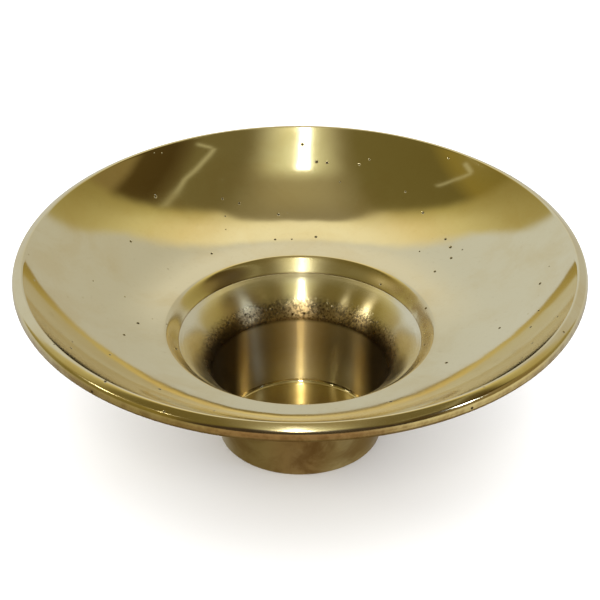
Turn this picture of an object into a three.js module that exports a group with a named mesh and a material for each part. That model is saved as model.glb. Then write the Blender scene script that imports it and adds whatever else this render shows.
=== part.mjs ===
// A brass candle holder: a wide shallow drip dish brazed onto a deep candle cup whose foot it stands on.
// Millimetres, +Z up, origin at the centre of the foot's underside. Every piece is a solid of revolution.
import * as THREE from "three";

// Driving dimensions of the dish
const RIM_RADIUS = 76.2; // the widest point, 6 in across
const HEIGHT = 54.4; // from the table to the top of the rim
const RIM_EDGE_HEIGHT = 4.5; // the rim's thickened outer edge, top to bottom
const CREST_RADIUS = 73.8; // the highest circle of the rim
const LIP_RADIUS = 75.6; // where the lip's outward slope ends
const LIP_FALL = 1.05; // the lip falls by this much from the crest
const LIP_SLOPE = 35; // degrees, at its outer end
const LIP_REACH_LOW = 1.2;
const LIP_REACH_HIGH = 0.2;
const EDGE_SLOPE = 50; // degrees, of the chamfer outside the lip
const EDGE_FALL = 2.7; // from the crest to the upright outer edge
const EDGE_REACH_LOW = 0.6;
const EDGE_REACH_HIGH = 0.7;
const RIM_FOOT_ROUND = 1.1;
const RIM_FOOT_WIDTH = 2.5;
const BOWL_RADIUS = 73.2; // where the bowl's wall rolls over onto the crest
const BOWL_ARC_RADIUS = 56.2; // the bowl's wall is an arc of this radius in section
const BOWL_ARC_CENTRE = 29.3; // the arc's centre, out from the axis
const ARC_START_RADIUS = 44; // inside this radius the wall eases into a shallow cone
const CONE_RADIUS = 40;
const CONE_SLOPE = 9.5; // degrees
const EASE_REACH = 1.4;
const SHOULDER_RADIUS = 36.6; // inside this radius the bowl rolls over into the mouth
const SHOULDER_END_SLOPE = 41; // degrees, where the roll meets the hole's edge
const SHOULDER_REACH_IN = 1.9; // how firmly the roll holds each end's slope
const SHOULDER_REACH_OUT = 1;
const MOUTH_RADIUS = 32.7; // the hole in the dish
const MOUTH_HEIGHT = 30.3;
const HOLE_EDGE = 0.05; // the hole's edge is nearly sharp
const DISH_THICKNESS = 2.5;
const UNDERSIDE_START = 41; // the even wall runs between these radii of the bowl
const UNDERSIDE_END = 70;
const SEAT_RADIUS = 38; // the flat under the dish that the cup's flange is brazed to
const GAP = 0.3; // clearance kept between touching pieces

// Driving dimensions of the cup and the braze metal
const FLANGE_RADIUS = 37;
const FLANGE_THICKNESS = 2.3;
const FLANGE_CHAMFER = 0.5;
const THROAT_RADIUS = 31.5; // the inner edge of the sloping land inside the seam
const LAND_SLOPE = 30; // degrees
const FUNNEL_START_SLOPE = 33; // degrees, just inside the land
const FUNNEL_END_SLOPE = 82; // degrees, at the top of the bore
const FUNNEL_REACH = 3;
const BORE_TOP_RADIUS = 23.8;
const BORE_TOP_HEIGHT = 20;
const BORE_FLOOR_RADIUS = 20.1;
const FLOOR_THICKNESS = 1.7;
const FLOOR_FILLET = 0.9;
const CUP_WALL = 2.1;
const FOOT_EDGE_ROUND = 0.9;
const BRAZE_WIDTH = 2;
const BRAZE_DEPTH = 1.5;
const BRAZE_EDGE = 0.1;
const BRAZE_HOLLOW = 0.3; // how far the fillet's middle stays from its corner, as a share of its size

const SEGMENTS = 64; // facets round every piece
const BOWL_STEPS = 13;
const SHOULDER_STEPS = 6;
const FUNNEL_STEPS = 9;
const EASE_STEPS = 2;
const ROUND_STEPS = 3;
const BRAZE_STEPS = 4;

const point = (r, z) => new THREE.Vector2(r, z);
const radians = THREE.MathUtils.degToRad;
const degrees = THREE.MathUtils.radToDeg;

// The point at a distance from start, along a slope given in degrees from the horizontal.
function along(start, slope, distance) {
  const angle = radians(slope);
  return point(start.x + distance * Math.cos(angle), start.y + distance * Math.sin(angle));
}

// A cubic curve that leaves start and reaches end along the given slopes.
function blend(start, slopeStart, reachStart, end, slopeEnd, reachEnd, steps) {
  const curve = new THREE.CubicBezierCurve(
    start,
    along(start, slopeStart, reachStart),
    along(end, slopeEnd, -reachEnd),
    end,
  );
  return curve.getPoints(steps);
}

// A circular arc about a centre, between two angles in degrees.
function arc(centre, radius, from, to, steps) {
  const clockwise = to < from;
  const curve = new THREE.EllipseCurve(
    centre.x, centre.y, radius, radius, radians(from), radians(to), clockwise,
  );
  return curve.getPoints(steps);
}

// Moves each point of a line sideways, to the right of its direction of travel.
function offset(points, distance) {
  return points.map((p, i) => {
    const before = points[Math.max(i - 1, 0)];
    const after = points[Math.min(i + 1, points.length - 1)];
    const way = after.clone().sub(before).normalize();
    return point(p.x + way.y * distance, p.y - way.x * distance);
  });
}

// Revolves an anticlockwise section in (radius, height) about the Z axis.
function revolve(name, section, material) {
  const clean = section.filter((p, i) => i === 0 || p.distanceTo(section[i - 1]) > 1e-3);
  const geometry = new THREE.LatheGeometry(clean, SEGMENTS);
  geometry.rotateX(Math.PI / 2);
  const mesh = new THREE.Mesh(geometry, material);
  mesh.name = name;
  return mesh;
}

const polishedBrass = new THREE.MeshStandardMaterial({
  color: 0xc8b478, roughness: 0.18, metalness: 1,
});
const turnedBrass = new THREE.MeshStandardMaterial({
  color: 0x9a7f48, roughness: 0.35, metalness: 1,
});
const brazeMetal = new THREE.MeshStandardMaterial({
  color: 0x8a6a3c, roughness: 0.55, metalness: 1,
});

// The bowl's wall: an arc, eased inward into a shallow cone, which rolls over into the mouth.
const arcAngle = (r) => degrees(Math.asin((r - BOWL_ARC_CENTRE) / BOWL_ARC_RADIUS)) - 90;
const arcSlope = (r) => arcAngle(r) + 90;
const crestRound = (CREST_RADIUS - BOWL_RADIUS) / Math.sin(radians(arcSlope(BOWL_RADIUS)));
const crestCentre = point(CREST_RADIUS, HEIGHT - crestRound);
const crestArc = arc(crestCentre, crestRound, 90, 90 + arcSlope(BOWL_RADIUS), ROUND_STEPS);
const bowlEdge = crestArc[ROUND_STEPS];
const arcCentre = point(
  BOWL_ARC_CENTRE, bowlEdge.y - BOWL_ARC_RADIUS * Math.sin(radians(arcAngle(BOWL_RADIUS))),
);
const bowlArc = arc(
  arcCentre, BOWL_ARC_RADIUS, arcAngle(ARC_START_RADIUS), arcAngle(BOWL_RADIUS), BOWL_STEPS,
);
const easeSlope = (CONE_SLOPE + arcSlope(ARC_START_RADIUS)) / 2;
const easeRun = (ARC_START_RADIUS - CONE_RADIUS) / Math.cos(radians(easeSlope));
const coneTop = along(bowlArc[0], easeSlope, -easeRun);
const ease = blend(
  coneTop, CONE_SLOPE, EASE_REACH,
  bowlArc[0], arcSlope(ARC_START_RADIUS), EASE_REACH, EASE_STEPS,
);
const coneRun = (CONE_RADIUS - SHOULDER_RADIUS) / Math.cos(radians(CONE_SLOPE));
const shoulderTop = along(coneTop, CONE_SLOPE, -coneRun);
const shoulder = blend(
  point(MOUTH_RADIUS, MOUTH_HEIGHT), SHOULDER_END_SLOPE, SHOULDER_REACH_IN,
  shoulderTop, CONE_SLOPE, SHOULDER_REACH_OUT, SHOULDER_STEPS,
);
const bowl = [...shoulder, ...ease, ...bowlArc.slice(1)];

// The drip dish: bowl above, an even wall below, a thick rim with a sloping lip, a flat round its hole.
function dripDish() {
  const seat = MOUTH_HEIGHT - HOLE_EDGE;
  const edgeFoot = HEIGHT - RIM_EDGE_HEIGHT;
  const lipEnd = point(LIP_RADIUS, HEIGHT - LIP_FALL);
  const edge = blend(
    point(RIM_RADIUS, HEIGHT - EDGE_FALL), 90, EDGE_REACH_LOW,
    lipEnd, 180 - EDGE_SLOPE, EDGE_REACH_HIGH, ROUND_STEPS,
  );
  const lip = blend(
    lipEnd, 180 - LIP_SLOPE, LIP_REACH_LOW,
    point(CREST_RADIUS, HEIGHT), 180, LIP_REACH_HIGH, ROUND_STEPS,
  );
  const even = bowl.filter((p) => p.x >= UNDERSIDE_START && p.x <= UNDERSIDE_END);
  const hole = point(MOUTH_RADIUS, seat);
  return [
    hole,
    point(SEAT_RADIUS, seat),
    ...offset(even, DISH_THICKNESS),
    point(RIM_RADIUS - RIM_FOOT_WIDTH, edgeFoot),
    ...arc(
      point(RIM_RADIUS - RIM_FOOT_ROUND, edgeFoot + RIM_FOOT_ROUND), RIM_FOOT_ROUND, -90, 0, ROUND_STEPS,
    ),
    ...edge,
    ...lip.slice(1),
    ...crestArc.slice(1),
    ...bowl.slice().reverse(),
    hole,
  ];
}

// The candle cup: foot and floor in one with the bore, and a funnel that opens into the brazed flange.
function candleCup() {
  const flangeTop = MOUTH_HEIGHT - HOLE_EDGE - GAP;
  const flangeFoot = flangeTop - FLANGE_THICKNESS;
  const landRun = MOUTH_RADIUS - THROAT_RADIUS;
  const landFoot = point(THROAT_RADIUS, flangeTop - landRun * Math.tan(radians(LAND_SLOPE)));
  const funnel = blend(
    point(BORE_TOP_RADIUS, BORE_TOP_HEIGHT), FUNNEL_END_SLOPE, FUNNEL_REACH,
    landFoot, FUNNEL_START_SLOPE, FUNNEL_REACH, FUNNEL_STEPS,
  );
  const flare = offset(funnel, CUP_WALL).slice(0, -1);
  const footRadius = BORE_FLOOR_RADIUS + CUP_WALL;
  const foot = arc(
    point(footRadius - FOOT_EDGE_ROUND, FOOT_EDGE_ROUND), FOOT_EDGE_ROUND, -90, 0, ROUND_STEPS,
  );
  const fillet = arc(
    point(BORE_FLOOR_RADIUS - FLOOR_FILLET, FLOOR_THICKNESS + FLOOR_FILLET),
    FLOOR_FILLET, 0, -90, ROUND_STEPS,
  );
  return [
    point(0, 0),
    ...foot,
    ...flare,
    point(MOUTH_RADIUS, flangeFoot),
    point(FLANGE_RADIUS - FLANGE_CHAMFER, flangeFoot),
    point(FLANGE_RADIUS, flangeFoot + FLANGE_CHAMFER),
    point(FLANGE_RADIUS, flangeTop),
    point(MOUTH_RADIUS, flangeTop),
    ...funnel.slice().reverse(),
    ...fillet,
    point(0, FLOOR_THICKNESS),
  ];
}

// The braze metal that fills the corner between the flange's edge and the dish.
function brazeFillet() {
  const inner = FLANGE_RADIUS + GAP;
  const top = MOUTH_HEIGHT - HOLE_EDGE - GAP;
  const toe = point(inner, top - BRAZE_DEPTH);
  const tip = point(inner + BRAZE_WIDTH, top - BRAZE_EDGE);
  const hollow = point(inner + BRAZE_WIDTH * BRAZE_HOLLOW, top - BRAZE_DEPTH * BRAZE_HOLLOW);
  const face = new THREE.QuadraticBezierCurve(toe, hollow, tip);
  return [
    ...face.getPoints(BRAZE_STEPS),
    point(inner + BRAZE_WIDTH, top),
    point(inner, top),
    toe,
  ];
}

const group = new THREE.Group();
group.add(revolve("drip_dish", dripDish(), polishedBrass));
group.add(revolve("candle_cup", candleCup(), turnedBrass));
group.add(revolve("braze_fillet", brazeFillet(), brazeMetal));

export default group;
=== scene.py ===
# A brass candle holder: a polished drip dish brazed round a deep candle cup. Metres, +Z up.
import math

import bpy
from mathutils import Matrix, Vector


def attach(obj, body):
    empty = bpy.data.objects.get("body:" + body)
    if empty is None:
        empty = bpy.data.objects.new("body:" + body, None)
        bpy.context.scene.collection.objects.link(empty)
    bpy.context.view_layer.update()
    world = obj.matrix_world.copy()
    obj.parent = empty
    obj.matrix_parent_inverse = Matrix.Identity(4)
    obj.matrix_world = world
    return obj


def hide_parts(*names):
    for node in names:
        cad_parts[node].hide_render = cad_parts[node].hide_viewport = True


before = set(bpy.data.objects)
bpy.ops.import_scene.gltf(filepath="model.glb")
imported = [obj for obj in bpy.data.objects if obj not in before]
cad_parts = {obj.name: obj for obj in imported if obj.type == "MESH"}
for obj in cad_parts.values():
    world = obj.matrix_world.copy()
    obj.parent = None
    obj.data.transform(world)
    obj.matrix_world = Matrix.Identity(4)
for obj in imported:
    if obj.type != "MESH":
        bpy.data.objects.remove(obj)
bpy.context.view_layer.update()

MM = 0.001
SEGMENTS = 384  # round every piece
ON_AXIS = 1e-6  # a radius below this, in mm, is a point on the axis
SHARP_EDGE = math.radians(40)
scene = bpy.context.scene
scene.view_settings.view_transform = "Standard"

# ---------------------------------------------------------------- sections, in mm and degrees
# A curve's two reaches say how firmly it holds its slope at each end.
RIM_RADIUS = 76.2
HEIGHT = 54.4
BOWL_RADIUS = 73.2  # where the bowl's wall rolls over onto the crest
CREST_RADIUS = 73.8
LIP_RADIUS = 75.6
LIP_FALL = 1.05
LIP_SLOPE = 35.0
LIP_REACHES = (1.2, 0.2)
EDGE_SLOPE = 50.0
EDGE_FALL = 2.7
EDGE_REACHES = (0.6, 0.7)
RIM_EDGE_FOOT = 49.9
RIM_FOOT_ROUND = 1.1
RIM_FOOT_WIDTH = 2.5
ARC_RADIUS = 56.2
ARC_CENTRE = 29.3
ARC_START = 44.0
EASE_REACHES = (1.4, 1.4)
CONE_RADIUS = 40.0
CONE_SLOPE = 9.5
SHOULDER_RADIUS = 36.6
SHOULDER_END_SLOPE = 41.0
SHOULDER_REACHES = (1.9, 1.0)
DISH_THICKNESS = 2.5
UNDERSIDE_START = 41.0
UNDERSIDE_END = 70.0
MOUTH_RADIUS = 32.7
MOUTH_HEIGHT = 30.15
SEAT_HEIGHT = 30.1
SEAT_RADIUS = 38.0
FLANGE_TOP = 30.02
FLANGE_FOOT = 27.65
FLANGE_RADIUS = 37.0
FLANGE_CHAMFER = 0.5
THROAT_RADIUS = 31.5
LAND_SLOPE = 30.0
FUNNEL_START_SLOPE = 33.0  # just inside the land
FUNNEL_END_SLOPE = 82.0  # at the top of the bore
FUNNEL_REACHES = (3, 3)
BORE_TOP = (23.8, 20.0)
BORE_FLOOR_RADIUS = 20.1
FLOOR_HEIGHT = 1.7
FLOOR_FILLET = 0.9
CUP_WALL = 2.1
FOOT_ROUND = 0.9
BRAZE_GAP = 0.3
BRAZE_WIDTH = 2.0
BRAZE_DEPTH = 1.5
BRAZE_EDGE = 0.1
BRAZE_HOLLOW = 0.3  # how far the fillet's middle stays from its corner, as a share of its size
BRAZE_STEPS = 16


def along(start, slope, distance):
    a = math.radians(slope)
    return (start[0] + distance * math.cos(a), start[1] + distance * math.sin(a))


def weighted(weights, points):
    return tuple(sum(k * p[j] for k, p in zip(weights, points)) for j in (0, 1))


def cubic(start, slope_start, end, slope_end, reaches, steps):
    """Points of a curve that leaves start and reaches end along the given slopes."""
    p = (start, along(start, slope_start, reaches[0]), along(end, slope_end, -reaches[1]), end)
    out = []
    for i in range(steps + 1):
        t = i / steps
        out.append(
            weighted(((1 - t) ** 3, 3 * t * (1 - t) ** 2, 3 * t * t * (1 - t), t ** 3), p)
        )
    return out


def arc(centre, radius, start, end, steps):
    out = []
    for i in range(steps + 1):
        a = math.radians(start + (end - start) * i / steps)
        out.append((centre[0] + radius * math.cos(a), centre[1] + radius * math.sin(a)))
    return out


def line(start, end, steps):
    """Points after start, up to and including end."""
    return [
        tuple(start[j] + (end[j] - start[j]) * i / steps for j in (0, 1))
        for i in range(1, steps + 1)
    ]


def offset(points, distance):
    """Moves each point sideways, to the right of the line's direction."""
    out = []
    for i, p in enumerate(points):
        a = points[max(i - 1, 0)]
        b = points[min(i + 1, len(points) - 1)]
        share = distance / math.dist(a, b)
        out.append((p[0] + (b[1] - a[1]) * share, p[1] - (b[0] - a[0]) * share))
    return out


def arc_slope(r):
    """The slope of the bowl's arc at radius r."""
    return math.degrees(math.asin((r - ARC_CENTRE) / ARC_RADIUS))


def arc_angle(r):
    """The direction from the bowl arc's centre to its point at radius r."""
    return arc_slope(r) - 90


def run(length, slope):
    """How long a line at that slope is over a horizontal length."""
    return length / math.cos(math.radians(slope))


bowl_end_slope = arc_slope(BOWL_RADIUS)
crest_round = (CREST_RADIUS - BOWL_RADIUS) / math.sin(math.radians(bowl_end_slope))
crest_arc = arc((CREST_RADIUS, HEIGHT - crest_round), crest_round, 90, 90 + bowl_end_slope, 8)
arc_rise = ARC_RADIUS * math.sin(math.radians(arc_angle(BOWL_RADIUS)))
arc_middle = (ARC_CENTRE, crest_arc[-1][1] - arc_rise)
bowl_arc = arc(arc_middle, ARC_RADIUS, arc_angle(ARC_START), arc_angle(BOWL_RADIUS), 100)
ease_slope = (CONE_SLOPE + arc_slope(ARC_START)) / 2
cone_top = along(bowl_arc[0], ease_slope, -run(ARC_START - CONE_RADIUS, ease_slope))
ease = cubic(cone_top, CONE_SLOPE, bowl_arc[0], arc_slope(ARC_START), EASE_REACHES, 12)
shoulder_top = along(cone_top, CONE_SLOPE, -run(CONE_RADIUS - SHOULDER_RADIUS, CONE_SLOPE))
mouth_edge = (MOUTH_RADIUS, MOUTH_HEIGHT)
shoulder = cubic(
    mouth_edge, SHOULDER_END_SLOPE, shoulder_top, CONE_SLOPE, SHOULDER_REACHES, 40
)
bowl = shoulder + line(shoulder_top, cone_top, 8) + ease[1:] + bowl_arc[1:]


def dish_section():
    even = [p for p in bowl if UNDERSIDE_START <= p[0] <= UNDERSIDE_END]
    foot_centre = (RIM_RADIUS - RIM_FOOT_ROUND, RIM_EDGE_FOOT + RIM_FOOT_ROUND)
    lip_end = (LIP_RADIUS, HEIGHT - LIP_FALL)
    edge_top = (RIM_RADIUS, HEIGHT - EDGE_FALL)
    crest = (CREST_RADIUS, HEIGHT)
    points = [(MOUTH_RADIUS, SEAT_HEIGHT)]
    points += line(points[-1], (SEAT_RADIUS, SEAT_HEIGHT), 10)
    points += offset(even, DISH_THICKNESS)[::3]
    points += line(points[-1], (RIM_RADIUS - RIM_FOOT_WIDTH, RIM_EDGE_FOOT), 4)
    points += arc(foot_centre, RIM_FOOT_ROUND, -90, 0, 10)
    points += line(points[-1], edge_top, 4)
    points += cubic(edge_top, 90, lip_end, 180 - EDGE_SLOPE, EDGE_REACHES, 16)[1:]
    points += cubic(lip_end, 180 - LIP_SLOPE, crest, 180, LIP_REACHES, 10)[1:]
    points += crest_arc[1:-1]
    points += bowl[:0:-1]
    points += [mouth_edge]
    return points


def cup_section():
    land_fall = (MOUTH_RADIUS - THROAT_RADIUS) * math.tan(math.radians(LAND_SLOPE))
    land_foot = (THROAT_RADIUS, FLANGE_TOP - land_fall)
    funnel = cubic(
        BORE_TOP, FUNNEL_END_SLOPE, land_foot, FUNNEL_START_SLOPE, FUNNEL_REACHES, 60
    )
    flare = offset(funnel, CUP_WALL)[::2]
    foot_flat = BORE_FLOOR_RADIUS + CUP_WALL - FOOT_ROUND
    fillet_centre = (BORE_FLOOR_RADIUS - FLOOR_FILLET, FLOOR_HEIGHT + FLOOR_FILLET)
    points = [(0.0, 0.0)]
    points += line(points[-1], (foot_flat, 0.0), 40)
    points += arc((foot_flat, FOOT_ROUND), FOOT_ROUND, -80, 0, 8)
    points += line(points[-1], flare[0], 30)
    points += flare[1:]
    points += line(flare[-1], (FLANGE_RADIUS - FLANGE_CHAMFER, FLANGE_FOOT), 8)
    points += line(points[-1], (FLANGE_RADIUS, FLANGE_FOOT + FLANGE_CHAMFER), 2)
    points += line(points[-1], (FLANGE_RADIUS, FLANGE_TOP), 4)
    points += line(points[-1], (MOUTH_RADIUS, FLANGE_TOP), 8)
    points += line(points[-1], land_foot, 6)
    points += funnel[-2::-1]
    points += line(BORE_TOP, (BORE_FLOOR_RADIUS, fillet_centre[1]), 30)
    points += arc(fillet_centre, FLOOR_FILLET, -8, -90, 8)
    points += line(points[-1], (0.0, FLOOR_HEIGHT), 30)
    return points


def braze_section():
    inner = FLANGE_RADIUS + BRAZE_GAP
    outer = inner + BRAZE_WIDTH
    curve = (
        (inner, FLANGE_TOP - BRAZE_DEPTH),
        (inner + BRAZE_HOLLOW * BRAZE_WIDTH, FLANGE_TOP - BRAZE_HOLLOW * BRAZE_DEPTH),
        (outer, FLANGE_TOP - BRAZE_EDGE),
    )
    points = []
    for i in range(BRAZE_STEPS + 1):
        t = i / BRAZE_STEPS
        points.append(weighted(((1 - t) ** 2, 2 * t * (1 - t), t * t), curve))
    points += line(points[-1], (outer, FLANGE_TOP), 1)
    points += line(points[-1], (inner, FLANGE_TOP), 4)
    points += line(points[-1], curve[0], 4)[:-1]
    return points


# ---------------------------------------------------------------- meshes
BOWL_WAVES = ((0.010, 0.30, 0.6), (0.004, 0.85, 2.0))  # height, waves per mm, phase
WAVY_FROM = 34.0  # the bowl's unevenness fades in outward from this radius
WAVY_FADE_IN = 5.0
WAVY_TO = 72.0  # and is gone at this one
WAVY_FADE_OUT = 2.0
SEAT_TRUE_BELOW = 31.32  # the seat and the hole's edge stay true
CAST_HEIGHTS = (3.0, 30.0)
CAST_RADII = (20.2, 31.0)
CAST_CENTRE = 23.0  # the height where the funnel is lumpiest
CAST_SPREAD = 4.5
CAST_WAVE = (0.05, 0.55, 1.1)
CAST_WAVE_RADIUS = 26.0
BRAZE_WAVE = 0.06
BRAZE_WAVES_ROUND = 23
BRAZE_WAVES_UNEVEN = 7


def wave(x, y, scale, phase):
    """A smooth, repeatable unevenness between about -1 and 1."""
    a = math.sin(x * scale + phase + 1.3 * math.sin(y * scale * 0.7 + phase * 2.1))
    b = math.sin(y * scale * 1.17 - phase * 1.7 + 1.1 * math.sin(x * scale * 0.83 - phase))
    return 0.5 * (a + b)


def unit(value):
    return min(1.0, max(0.0, value))


def bowl_wave(r, a, z):
    """Hand polishing leaves the dish's surface very slightly uneven."""
    if z <= SEAT_TRUE_BELOW:
        return 0.0
    x, y = r * math.cos(a), r * math.sin(a)
    fade = unit((r - WAVY_FROM) / WAVY_FADE_IN) * unit((WAVY_TO - r) / WAVY_FADE_OUT)
    return fade * sum(tall * wave(x, y, scale, phase) for tall, scale, phase in BOWL_WAVES)


def cup_wave(r, a, z):
    """The funnel is as cast; the foot and the flange are turned."""
    if not CAST_HEIGHTS[0] <= z <= CAST_HEIGHTS[1] or not CAST_RADII[0] <= r <= CAST_RADII[1]:
        return 0.0
    x, y = CAST_WAVE_RADIUS * math.cos(a), CAST_WAVE_RADIUS * math.sin(a)
    tall, scale, phase = CAST_WAVE
    depth = math.exp(-((z - CAST_CENTRE) / CAST_SPREAD) ** 2)
    return tall * depth * wave(x + z, y - z, scale, phase)


def braze_wave(r, a, z):
    """The braze metal's free surface is wavy where it ran and froze."""
    if not FLANGE_RADIUS + 0.5 < r < FLANGE_RADIUS + 1.9:
        return 0.0
    return BRAZE_WAVE * math.sin(a * BRAZE_WAVES_ROUND + 2 * math.sin(a * BRAZE_WAVES_UNEVEN))


def revolve(name, section, material, ripple):
    """A closed mesh: the section in (radius, height) turned about the Z axis."""
    verts = []
    rings = []
    for r, z in section:
        if r < ON_AXIS:
            rings.append([len(verts)])
            verts.append((0.0, 0.0, z * MM))
            continue
        rings.append(range(len(verts), len(verts) + SEGMENTS))
        for k in range(SEGMENTS):
            a = 2 * math.pi * k / SEGMENTS
            lift = ripple(r, a, z)
            verts.append((r * MM * math.cos(a), r * MM * math.sin(a), (z + lift) * MM))
    faces = []
    last = len(rings) if len(rings[0]) > 1 else len(rings) - 1
    for i in range(last):
        low, high = rings[i], rings[(i + 1) % len(rings)]
        for k in range(SEGMENTS):
            n = (k + 1) % SEGMENTS
            if len(low) == 1:
                faces.append((low[0], high[n], high[k]))
            elif len(high) == 1:
                faces.append((low[k], low[n], high[0]))
            else:
                faces.append((low[k], low[n], high[n], high[k]))
    mesh = bpy.data.meshes.new(name)
    mesh.from_pydata(verts, [], faces)
    mesh.validate()
    mesh.polygons.foreach_set("use_smooth", [True] * len(mesh.polygons))
    mesh.set_sharp_from_angle(angle=SHARP_EDGE)
    mesh.materials.append(material)
    piece = bpy.data.objects.new(name, mesh)
    scene.collection.objects.link(piece)
    return piece


# ---------------------------------------------------------------- node helper
class Nodes:
    """Builds a node tree: values can be numbers, tuples or other nodes' outputs."""

    def __init__(self, tree):
        self.tree = tree
        self.tree.nodes.clear()

    def add(self, kind, inputs=None, out=0, **settings):
        node = self.tree.nodes.new("ShaderNode" + kind)
        for key, value in settings.items():
            setattr(node, key, value)
        for key, value in (inputs or {}).items():
            self.set(node.inputs[key], value)
        return node if out is None else node.outputs[out]

    def set(self, socket, value):
        if isinstance(value, bpy.types.NodeSocket):
            self.tree.links.new(value, socket)
        elif isinstance(value, tuple) and socket.type == "RGBA":
            socket.default_value = (*value, 1.0)
        else:
            socket.default_value = value

    def math(self, operation, a, b=0.0, clamp=False):
        return self.add("Math", {0: a, 1: b}, operation=operation, use_clamp=clamp)

    def times(self, first, *others):
        for other in others:
            first = self.math("MULTIPLY", first, other)
        return first

    def total(self, first, *others):
        for other in others:
            first = self.math("ADD", first, other)
        return first

    def less(self, a, b):
        """a minus b."""
        return self.math("SUBTRACT", a, b)

    def split(self, v):
        node = self.add("SeparateXYZ", {0: v}, out=None)
        return node.outputs[0], node.outputs[1], node.outputs[2]

    def join(self, x, y, z):
        return self.add("CombineXYZ", {0: x, 1: y, 2: z})

    def step(self, value, low, high, a=0.0, b=1.0):
        """Smoothly from a to b as value goes from low to high."""
        return self.add(
            "MapRange", {0: value, 1: low, 2: high, 3: a, 4: b}, interpolation_type="SMOOTHSTEP"
        )

    def bell(self, value, centre, width):
        """1 at centre, falling smoothly to 0 at width away."""
        away = self.math("ABSOLUTE", self.less(value, centre))
        return self.step(away, 0, width, 1, 0)

    def mix(self, factor, a, b):
        node = self.add("Mix", {"Factor": factor}, out=None, data_type="RGBA")
        self.set(node.inputs[6], a)
        self.set(node.inputs[7], b)
        return node.outputs[2]

    def colour_line(self, value, low, high, stops):
        """A colour or grey that changes with value, given as (value, colour) pairs."""
        scaled = self.math("DIVIDE", self.less(value, low), high - low)
        node = self.add("ValToRGB", {0: scaled}, out=None)
        band = node.color_ramp
        while len(band.elements) < len(stops):
            band.elements.new(1.0)
        for element, (place, colour) in zip(band.elements, stops):
            element.position = (place - low) / (high - low)
            element.color = (*(colour if isinstance(colour, tuple) else (colour,) * 3), 1.0)
        return node.outputs[0]

    def noise(self, vector, scale, detail, roughness, distortion=0.0):
        return self.add(
            "TexNoise",
            {"Vector": vector, "Scale": scale, "Detail": detail, "Roughness": roughness,
             "Distortion": distortion},
        )

    def pits(self, vector, scale, share, size):
        """Scattered small round marks: 1 inside a mark, 0 elsewhere."""
        node = self.add("TexVoronoi", {"Vector": vector, "Scale": scale}, out=None)
        pick, spread, _ = self.split(node.outputs["Color"])
        chosen = self.math("LESS_THAN", pick, share)
        reach = self.total(self.times(spread, size), size * 0.4)
        spot = self.step(self.math("DIVIDE", node.outputs["Distance"], reach), 0.5, 1.0, 1, 0)
        return self.times(chosen, spot)


# ---------------------------------------------------------------- materials
CLEAN = (0.83, 0.735, 0.47)
GOLDEN = (0.74, 0.58, 0.28)
LAND = (0.88, 0.82, 0.62)
STAIN = (0.42, 0.27, 0.10)
BROWN = (0.30, 0.19, 0.075)
# the painted shade on the cup's outer left and right flanks
FLANK_SHADE_BROWN = (0.17, 0.10, 0.03)
# near black: soot in the pits and the casting skin, also used for painted shade in the cup's
# crease and on the bore's sides
SOOT_AND_SHADE = (0.035, 0.022, 0.012)


class Brass(Nodes):
    """A brass material in the making, with the places that its textures go by."""

    def __init__(self, name, anisotropic=0.0):
        self.material = bpy.data.materials.new(name)
        self.material.use_nodes = True
        super().__init__(self.material.node_tree)
        self.shader = self.add(
            "BsdfPrincipled", {"Metallic": 1.0, "Anisotropic": anisotropic}, out=None
        )
        self.add("OutputMaterial", {"Surface": self.shader.outputs[0]}, out=None)
        self.place = self.add("TexCoord", out=3)
        self.x, self.y, self.z = self.split(self.place)
        self.radius = self.math(
            "SQRT", self.total(self.times(self.x, self.x), self.times(self.y, self.y))
        )
        if anisotropic:
            self.set(self.shader.inputs["Anisotropic Rotation"], 0.25)
            tangent = self.add("Tangent", direction_type="RADIAL", axis="Z")
            self.set(self.shader.inputs["Tangent"], tangent)

    def lathe(self, height_scale, scale):
        """The fine rings that a lathe leaves round the axis."""
        rings = self.join(self.times(self.radius, 1000.0), 0.0, self.times(self.z, height_scale))
        return self.noise(rings, scale, 3.0, 0.7)

    def finish(self, colour, rough, height):
        bump = self.add("Bump", {"Strength": 1.0, "Distance": 1.0, "Height": height})
        self.set(self.shader.inputs["Base Color"], colour)
        self.set(self.shader.inputs["Roughness"], rough)
        self.set(self.shader.inputs["Normal"], bump)
        return self.material


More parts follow.
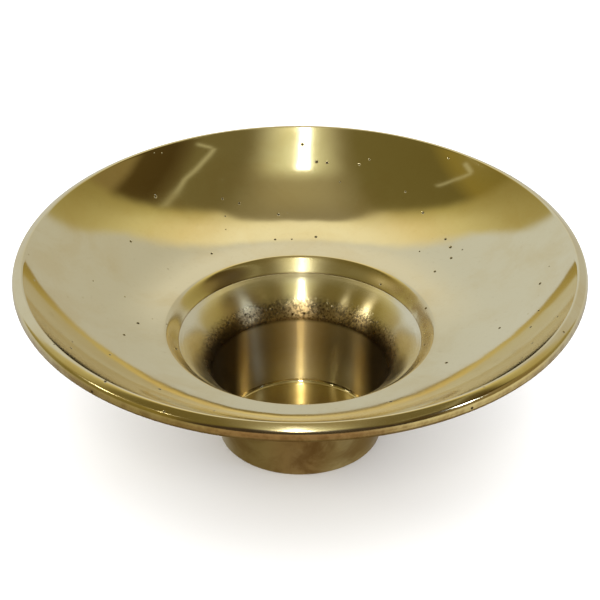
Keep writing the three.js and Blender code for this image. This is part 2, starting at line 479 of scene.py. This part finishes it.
def dish_material():
    n = Brass("dish_polished_brass")
    place, x, y, z, radius = n.place, n.x, n.y, n.z, n.radius
    under = n.step(n.split(n.add("NewGeometry", out=1))[2], -0.35, -0.1, 1, 0)
    rim = n.times(n.step(radius, 0.0735, 0.0741), n.less(1.0, under))
    edge = n.times(n.step(z, 0.0532, 0.0516), n.step(radius, 0.0750, 0.0756))
    shoulder_zone = n.step(radius, 0.0366, 0.0350)
    hole_edge = n.step(radius, 0.0327, 0.0331, 0.45, 0)
    cloud = n.noise(place, 55.0, 5.0, 0.62, 0.4)
    fine = n.noise(place, 900.0, 3.0, 0.6)
    blotch = n.noise(place, 260.0, 4.0, 0.65)
    pit = n.math("MAXIMUM", n.pits(place, 270.0, 0.42, 0.112), n.pits(place, 120.0, 0.30, 0.056))

    # residue of the braze, to the right of the seam
    seam_side = n.times(n.step(x, 0.018, 0.030), n.step(y, -0.012, 0.0))
    seam_near = n.bell(n.total(radius, n.times(blotch, 0.003)), 0.0360, 0.0024)
    stain = n.times(seam_side, seam_near, n.step(blotch, 0.30, 0.62, 0.3, 1))

    # colour: clean brass, clouds of light tarnish, brown at the seam, soot in the casting pits
    warm_ring = n.times(n.bell(radius, 0.0356, 0.0022), n.step(cloud, 0.3, 0.6, 0.10, 0.30))
    colour = n.mix(n.step(cloud, 0.42, 0.72, 0.0, 0.38), CLEAN, GOLDEN)
    colour = n.mix(n.step(fine, 0.55, 0.85, 0.0, 0.10), colour, BROWN)
    colour = n.mix(n.times(stain, 0.65), colour, STAIN)
    colour = n.mix(warm_ring, colour, GOLDEN)
    colour = n.mix(n.times(hole_edge, n.step(blotch, 0.30, 0.60, 0.5, 1)), colour, BROWN)
    colour = n.mix(n.times(rim, n.step(cloud, 0.3, 0.7, 0.10, 0.40)), colour, GOLDEN)
    colour = n.mix(n.times(edge, n.step(blotch, 0.35, 0.65, 0.35, 0.75)), colour, BROWN)
    colour = n.mix(n.times(under, n.step(cloud, 0.3, 0.7, 0.45, 0.8)), colour, BROWN)
    colour = n.mix(n.times(pit, 0.85), colour, SOOT_AND_SHADE)

    # roughness: a mirror polish with hazier patches; the shoulder, rim and underside are duller
    rough = n.step(n.noise(place, 28.0, 4.0, 0.55), 0.35, 0.75, 0.065, 0.13)
    for zone, more in (
        (stain, 0.12), (shoulder_zone, 0.11), (rim, 0.05), (edge, 0.12), (under, 0.28),
    ):
        rough = n.total(rough, n.times(zone, more))
    rough = n.math("ADD", rough, n.times(pit, 0.5), clamp=True)

    # relief: the lathe's fine rings, polishing scratches, pits
    ring_height = n.total(0.00000035, n.times(under, 0.000006))
    height = n.times(n.lathe(300.0, 2.2), ring_height)
    height = n.total(height, n.times(n.noise(place, 700.0, 4.0, 0.6), 0.00000045))
    height = n.less(height, n.times(pit, 0.00012))
    return n.finish(colour, rough, height)


def cup_material():
    n = Brass("cup_turned_brass", 0.9)
    place, x, y, z, radius = n.place, n.x, n.y, n.z, n.radius
    facing = n.add("NewGeometry", out=1)
    along_radius = n.add(
        "VectorMath", {0: facing, 1: n.join(x, y, 0.0)}, out=1, operation="DOT_PRODUCT"
    )
    outward = n.math("DIVIDE", along_radius, n.math("MAXIMUM", radius, 0.001))
    foot_face = n.step(z, 0.0012, 0.0016, 1, 0)
    outside = n.math("MAXIMUM", n.step(outward, 0.02, 0.25), foot_face)
    inside = n.less(1.0, outside)
    cast = n.times(n.step(z, 0.0195, 0.0207), n.step(z, 0.0235, 0.0265, 1, 0), inside)
    funnel = n.times(n.step(z, 0.0194, 0.0206), inside)
    bore = n.times(n.step(z, 0.0206, 0.0194, 0, 1), n.step(z, 0.0022, 0.003), inside)
    # painted shade: a dark ring on the crease where the funnel turns down into the bore
    corner_shade = n.times(n.bell(z, 0.0204, 0.0012), inside)
    # painted shade: the funnel darkens toward brown as it goes down into the bore
    throat_shade = n.times(n.step(z, 0.0260, 0.0228), funnel)
    land = n.times(n.step(radius, 0.0290, 0.0312, 0, 0.6), inside)
    # painted shade: the outside's left and right flanks, as seen from the front, are darker than
    # its front
    flank_shade = n.times(n.step(n.math("ABSOLUTE", x), 0.006, 0.016, 0, 0.45), outside)
    # painted shade: the bore's left and right walls, as seen from the front, are darkened toward
    # near black below the funnel
    bore_side_shade = n.math("MAXIMUM", n.step(x, -0.0145, -0.0185), n.step(x, 0.0165, 0.0205))
    bore_side_shade = n.times(bore_side_shade, n.step(z, 0.0245, 0.0215), inside)
    cloud = n.noise(place, 90.0, 5.0, 0.6, 0.3)
    fine = n.noise(place, 1500.0, 3.0, 0.6)
    patina = n.step(n.noise(place, 75.0, 6.0, 0.6, 0.8), 0.35, 0.65, 0.35, 0.85)
    pit = n.times(n.pits(place, 900.0, 0.40, 0.30), cast)

    # colour: brown bore, sooty casting round its top, pale land, dull brown outside, and painted
    # shade: a dark ring at the bore's top corner, down the throat, on the bore's left and right
    # sides and on the outside's left and right flanks
    colour = n.mix(n.step(cloud, 0.4, 0.7, 0.1, 0.55), CLEAN, GOLDEN)
    colour = n.mix(n.times(bore, n.step(z, 0.003, 0.014, 0.15, 0.60)), colour, BROWN)
    colour = n.mix(n.times(corner_shade, 0.7), colour, SOOT_AND_SHADE)
    colour = n.mix(n.times(throat_shade, 0.72), colour, BROWN)
    colour = n.mix(n.times(cast, n.step(fine, 0.42, 0.62, 0.1, 0.75)), colour, SOOT_AND_SHADE)
    colour = n.mix(land, colour, LAND)
    colour = n.mix(n.times(bore_side_shade, 0.88), colour, SOOT_AND_SHADE)
    colour = n.mix(n.times(outside, patina), colour, BROWN)
    colour = n.mix(flank_shade, colour, FLANK_SHADE_BROWN)
    colour = n.mix(n.times(pit, 0.9), colour, SOOT_AND_SHADE)

    rough = 0.12
    for zone, more in ((funnel, 0.09), (bore, 0.24), (cast, 0.06), (outside, 0.26)):
        rough = n.total(rough, n.times(zone, more))
    rough = n.math("ADD", rough, n.step(cloud, 0.3, 0.7, -0.03, 0.04), clamp=True)

    # relief: the lathe's rings, the casting's sandy skin and its pits
    height = n.times(n.lathe(1000.0, 3.5), n.total(bore, 0.25), 0.0000045)
    height = n.total(height, n.times(n.noise(place, 1300.0, 5.0, 0.7), cast, 0.00005))
    height = n.less(height, n.times(pit, 0.00006))
    return n.finish(colour, rough, height)


def braze_material():
    n = Brass("braze_oxidised")
    blotch = n.noise(n.place, 300.0, 5.0, 0.65, 0.5)
    colour = n.mix(n.step(blotch, 0.3, 0.7), BROWN, GOLDEN)
    rough = n.step(blotch, 0.3, 0.7, 0.6, 0.38)
    height = n.times(n.noise(n.place, 600.0, 5.0, 0.6), 0.0002)
    return n.finish(colour, rough, height)


for name, node, slot, section, material, ripple in (
    ("dish", "drip_dish", "dish_brass", dish_section(), dish_material(), bowl_wave),
    ("cup", "candle_cup", "cup_brass", cup_section(), cup_material(), cup_wave),
    ("braze", "braze_fillet", "braze", braze_section(), braze_material(), braze_wave),
):
    piece = revolve(name, section, material, ripple)
    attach(piece, "root")
    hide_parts(node)

# ---------------------------------------------------------------- floor
FLOOR_HALF = 6.0
PAPER = (0.93, 0.93, 0.925)
floor_mesh = bpy.data.meshes.new("floor")
floor_mesh.from_pydata(
    [(x * FLOOR_HALF, y * FLOOR_HALF, 0) for x, y in ((-1, -1), (1, -1), (1, 1), (-1, 1))],
    [], [(0, 1, 2, 3)],
)
floor = bpy.data.objects.new("floor", floor_mesh)
scene.collection.objects.link(floor)
paper = bpy.data.materials.new("paper")
paper.use_nodes = True
p = Nodes(paper.node_tree)
p.add("OutputMaterial", {"Surface": p.add("BsdfDiffuse", {"Color": PAPER})}, out=None)
floor_mesh.materials.append(paper)
floor.visible_glossy = False

# ---------------------------------------------------------------- surroundings
# What the metal mirrors, by direction: dx to the right, dy away from the viewer, dz up.
PAPER_LEFT = (0.64, 0.67, 0.71)
PAPER_RIGHT = (0.55, 0.55, 0.53)
PAPER_LIT = (0.80, 0.79, 0.76)
CEILING_LIT = (0.46, 0.40, 0.215)
THIN_EDGE = (0.47, 0.44, 0.27)
LAMP_GLOW = (0.92, 0.92, 0.60)
DARK_ROOM = (0.050, 0.034, 0.020)
TABLE_LEFT = (0.42, 0.37, 0.20)
TABLE_RIGHT = (0.84, 0.80, 0.56)
TABLE_NEAR = (0.42, 0.28, 0.16)
TABLE_FAR = (0.62, 0.63, 0.62)
TABLE_UNDER = (0.24, 0.185, 0.085)
SOFT_LIGHT = (1.7, 1.7, 1.7)
BACKGROUND = (1.0, 1.0, 1.0)

world = bpy.data.worlds.new("studio")
world.use_nodes = True
world.cycles.sampling_method = "NONE"
scene.world = world
w = Nodes(world.node_tree)
way = w.add("VectorMath", {0: w.add("TexCoord", out=0)}, operation="NORMALIZE")
dx, dy, dz = w.split(way)
ax = w.math("ABSOLUTE", dx)

# the far half of the room: pale paper, above it a warm border
pale = w.mix(w.step(dx, -0.35, 0.35), PAPER_LEFT, PAPER_RIGHT)
lit = w.times(w.bell(dx, 0.0, 0.40), w.step(dy, 0.42, 0.62), w.step(dy, 0.88, 0.74))
pale = w.mix(lit, pale, PAPER_LIT)
paper_top = w.colour_line(ax, 0, 1, (
    (0, 0.53), (0.20, 0.50), (0.43, 0.42), (0.57, 0.39), (0.66, 0.43), (0.74, 0.50),
    (0.85, 0.56),
))
warm_end = w.colour_line(ax, 0, 1, (
    (0.13, 0.285), (0.20, 0.24), (0.28, 0.170), (0.50, 0.155), (0.80, 0.150),
))
warm = w.colour_line(ax, 0, 1, (
    (0, (0.98, 0.93, 0.73)), (0.13, (0.98, 0.93, 0.73)), (0.34, (0.83, 0.72, 0.43)),
    (0.55, (0.67, 0.60, 0.32)), (0.74, (0.46, 0.40, 0.18)), (0.90, (0.32, 0.27, 0.10)),
))
warm_dim = w.colour_line(ax, 0, 1, (
    (0, (0.98, 0.92, 0.70)), (0.13, (0.95, 0.88, 0.62)), (0.34, (0.52, 0.44, 0.19)),
    (0.55, (0.46, 0.40, 0.15)), (0.74, (0.36, 0.30, 0.11)), (0.90, (0.28, 0.23, 0.08)),
))
up_border = w.math("DIVIDE", w.less(dy, warm_end), w.less(paper_top, warm_end))
sky = w.mix(w.step(up_border, 0.0, 0.6), warm_dim, warm)
sky = w.mix(w.step(w.less(dy, paper_top), -0.045, 0.045), sky, pale)

# overhead: a dim ceiling, lighter in the middle
ceiling = w.colour_line(dx, -1, 1, (
    (-0.90, (0.22, 0.18, 0.05)), (-0.74, (0.26, 0.20, 0.045)), (-0.66, (0.15, 0.12, 0.035)),
    (-0.30, (0.165, 0.135, 0.045)), (-0.10, (0.28, 0.24, 0.145)), (0.10, (0.27, 0.23, 0.13)),
    (0.30, (0.165, 0.135, 0.055)), (0.52, (0.17, 0.14, 0.055)), (0.58, (0.11, 0.08, 0.028)),
    (0.64, (0.070, 0.045, 0.012)), (0.76, (0.080, 0.052, 0.014)), (0.80, (0.24, 0.18, 0.07)),
))
middle = w.times(w.bell(dx, 0.0, 0.30), w.step(dy, 0.28, -0.05), 0.5)
ceiling = w.mix(middle, ceiling, CEILING_LIT)
softness = w.colour_line(ax, 0, 1, ((0.10, 0.018), (0.30, 0.045), (0.80, 0.045)))
past_border = w.math("DIVIDE", w.less(dy, warm_end), softness)
sky = w.mix(w.step(past_border, -1, 1, 1, 0), sky, ceiling)

# thin pale edges of things in the room; the right one leans
lean = w.times(w.math("MINIMUM", w.total(dy, 0.12), 0.0), 0.26)
edges = [
    w.times(w.bell(value, centre, width), w.step(run_on, *first), w.step(run_on, *last))
    for value, centre, width, run_on, first, last in (
        (w.less(dx, lean), 0.528, 0.022, dy, (0.15, 0.13), (-0.44, -0.42)),
        (dy, -0.43, 0.02, dx, (0.45, 0.47), (0.56, 0.53)),
        (dy, -0.036, 0.018, dx, (-0.79, -0.77), (-0.59, -0.61)),
        (dx, -0.78, 0.02, dy, (-0.03, -0.05), (-0.14, -0.11)),
    )
]
any_edge = edges[0]
for edge in edges[1:]:
    any_edge = w.math("MAXIMUM", any_edge, edge)
sky = w.mix(any_edge, sky, THIN_EDGE)

# the glow round the strip lamp, and the dark room behind the viewer
glow = w.times(w.bell(dx, 0.01, 0.27), w.step(dy, -0.15, -0.34), w.step(dy, -0.82, -0.68), 0.85)
sky = w.mix(glow, sky, LAMP_GLOW)
sky = w.mix(w.step(dy, -0.66, -0.80), sky, DARK_ROOM)

# below the horizon: the table
table = w.mix(w.step(dx, -0.2, 0.2), TABLE_LEFT, TABLE_RIGHT)
table = w.mix(w.step(ax, 0.30, 0.70), TABLE_NEAR, table)
table = w.mix(w.step(dy, -0.1, 0.5), table, TABLE_FAR)
table = w.mix(w.step(dz, -0.72, -0.58, 1, 0), table, TABLE_UNDER)
sky = w.mix(w.step(dz, -0.06, 0.0, 1, 0), sky, table)

path = w.add("LightPath", out=None)
sky = w.mix(path.outputs["Is Diffuse Ray"], sky, SOFT_LIGHT)
sky = w.mix(path.outputs["Is Camera Ray"], sky, BACKGROUND)
w.add("OutputWorld", {"Surface": w.add("Background", {"Color": sky, "Strength": 1.0})}, out=None)

# ---------------------------------------------------------------- lamps
LAMPS_AIM = Vector((0, 0, 0.04))
FAR = 2.0
ABOVE = 2.6
WHITE = (1, 1, 1)
CREAM = (1.0, 0.97, 0.86)
YELLOW = (1.0, 0.97, 0.80)
BLUE = (0.60, 0.74, 1.0)


def lamp(name, way, distance, size, power, colour=WHITE, glossy=True):
    """A soft box that looks back at the holder from the given direction."""
    data = bpy.data.lights.new(name, "AREA")
    data.shape = "RECTANGLE"
    data.size, data.size_y = size
    data.energy = power
    data.color = colour
    light = bpy.data.objects.new(name, data)
    scene.collection.objects.link(light)
    direction = Vector(way).normalized()
    light.location = LAMPS_AIM + direction * distance
    light.rotation_mode = "QUATERNION"
    light.rotation_quaternion = direction.to_track_quat("Z", "Y")
    light.visible_glossy = glossy
    light.visible_camera = False


def past_zenith(degrees, x_degrees):
    """The direction that many degrees past the zenith, toward the viewer's side."""
    a = math.radians(degrees)
    return (math.tan(math.radians(x_degrees)), -math.sin(a), math.cos(a))


lamp("strip", past_zenith(28, -1.4), FAR, (0.09, 0.92), 1.6)
lamp("tube", past_zenith(49, -0.6), FAR, (0.13, 0.50), 7.6, CREAM)
lamp("left_box", (-0.85, -0.12, 0.51), FAR, (0.24, 0.22), 2.2, YELLOW)
lamp("small_box", (-0.65, -0.45, 0.61), FAR, (0.10, 0.10), 0.7, YELLOW)
lamp("right_box", (0.80, -0.38, 0.47), FAR, (0.26, 0.22), 3.0, BLUE)
lamp("fill", (0, 0, 1), ABOVE, (3.0, 3.0), 3, glossy=False)

# ---------------------------------------------------------------- camera
LENS = 152.37
SENSOR_WIDTH = 36
ELEVATION = math.radians(32.80)
DISTANCE = 0.6798
TARGET = Vector((0.0, 0, 0.0420))
camera_data = bpy.data.cameras.new("camera")
camera_data.lens = LENS
camera_data.sensor_width = SENSOR_WIDTH
camera_data.clip_start, camera_data.clip_end = 0.01, 50
camera = bpy.data.objects.new("camera", camera_data)
scene.collection.objects.link(camera)
back = Vector((0, -math.cos(ELEVATION), math.sin(ELEVATION)))
camera.location = TARGET + back * DISTANCE
camera.rotation_mode = "QUATERNION"
camera.rotation_quaternion = back.to_track_quat("Z", "Y")
scene.camera = camera
